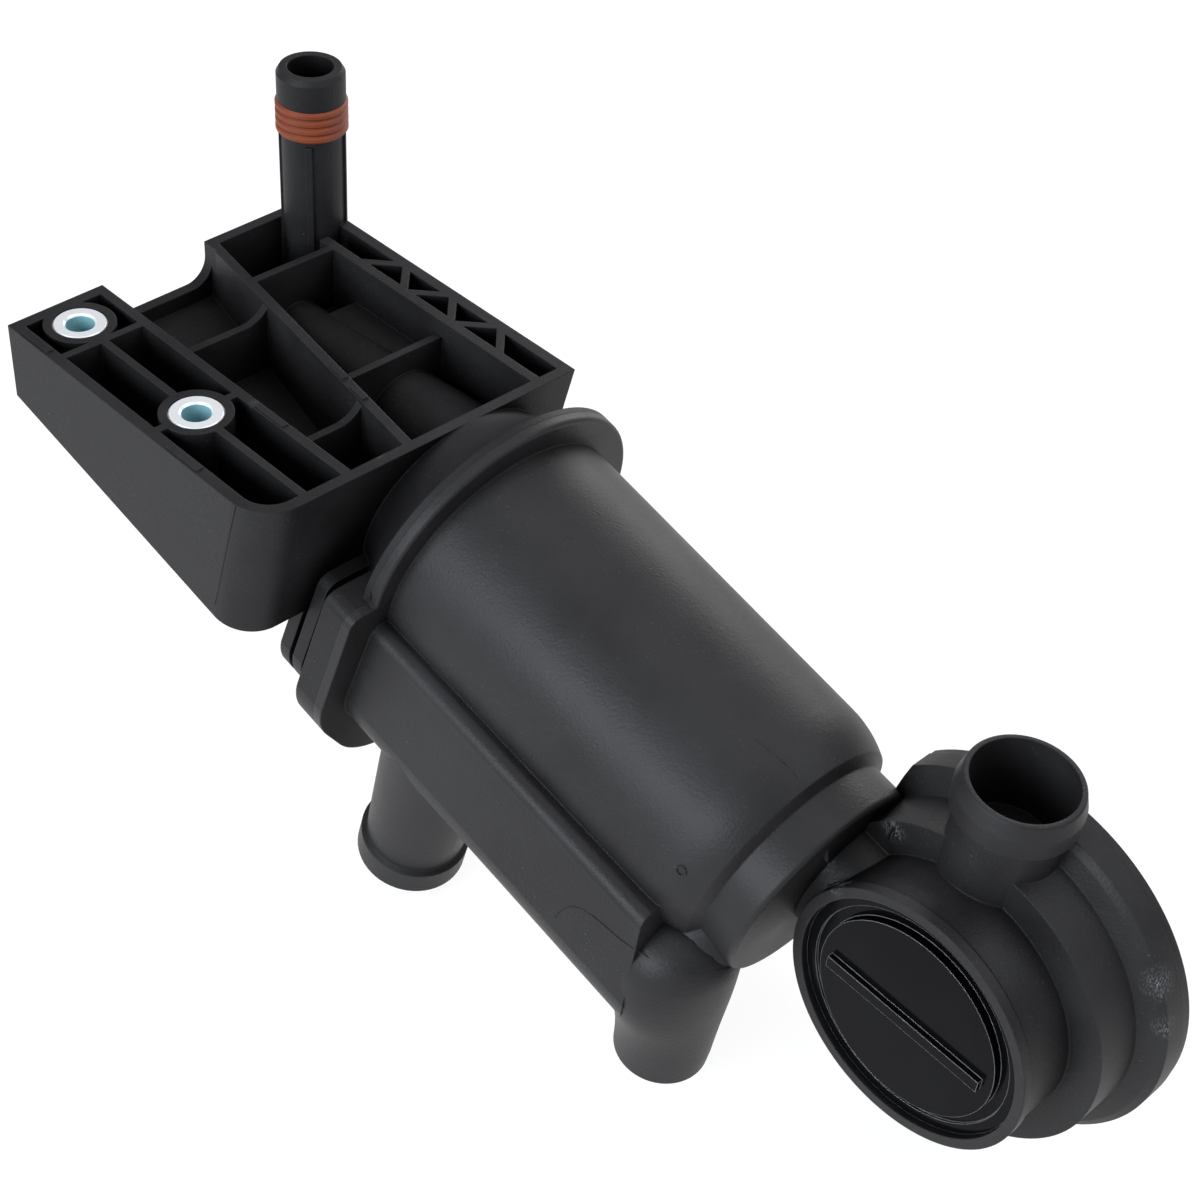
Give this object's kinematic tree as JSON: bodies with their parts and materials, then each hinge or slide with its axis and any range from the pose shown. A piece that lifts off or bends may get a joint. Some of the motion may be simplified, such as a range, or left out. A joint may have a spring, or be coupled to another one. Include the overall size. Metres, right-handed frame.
{
  "type": "oil separator",
  "caption": "Ribbed bolt-on bracket with a sealed spigot, carrying a tilted separator canister with side duct, hose nipples, drain and a capped diaphragm valve.",
  "frame": {"origin": "midway between the two bolt sleeves, on the mounting face", "axes": "+X along the bolt line towards the canister, +Y along the valve axis away from its capped front, +Z out of the mounting face, the way the spigot points"},
  "size_m": [0.2774, 0.0929, 0.1499],
  "materials": {
    "black_moulding": "fine grained",
    "zinc_steel": "zinc plated",
    "orange_rubber": "moulded",
    "black_cap": "polished",
    "black_rubber": "moulded",
    "spring_steel": "drawn wire",
    "inner_plastic": "plain"
  },
  "bodies": {
    "separator": {"bracket_head": "black_moulding", "bolt_bush_near": "zinc_steel", "bolt_bush_far": "zinc_steel", "spigot_seal": "orange_rubber", "canister": "black_moulding", "cyclone_tube": "inner_plastic", "valve_housing": "black_moulding", "valve_cap": "black_cap", "diaphragm": "black_rubber", "regulating_spring": "spring_steel", "diaphragm_cover": "black_moulding"},
    "valve_plate": {"diaphragm_plate": "inner_plastic"}
  },
  "joints": [
    {"name": "plate_slide", "type": "slide", "parent": "separator", "child": "valve_plate", "axis": [0, -1, 0], "range_m": [0, 0.003], "stiffness_N_per_m": 300, "springref_m": -0.004, "deforming": ["regulating_spring", "diaphragm"]}
  ]
}
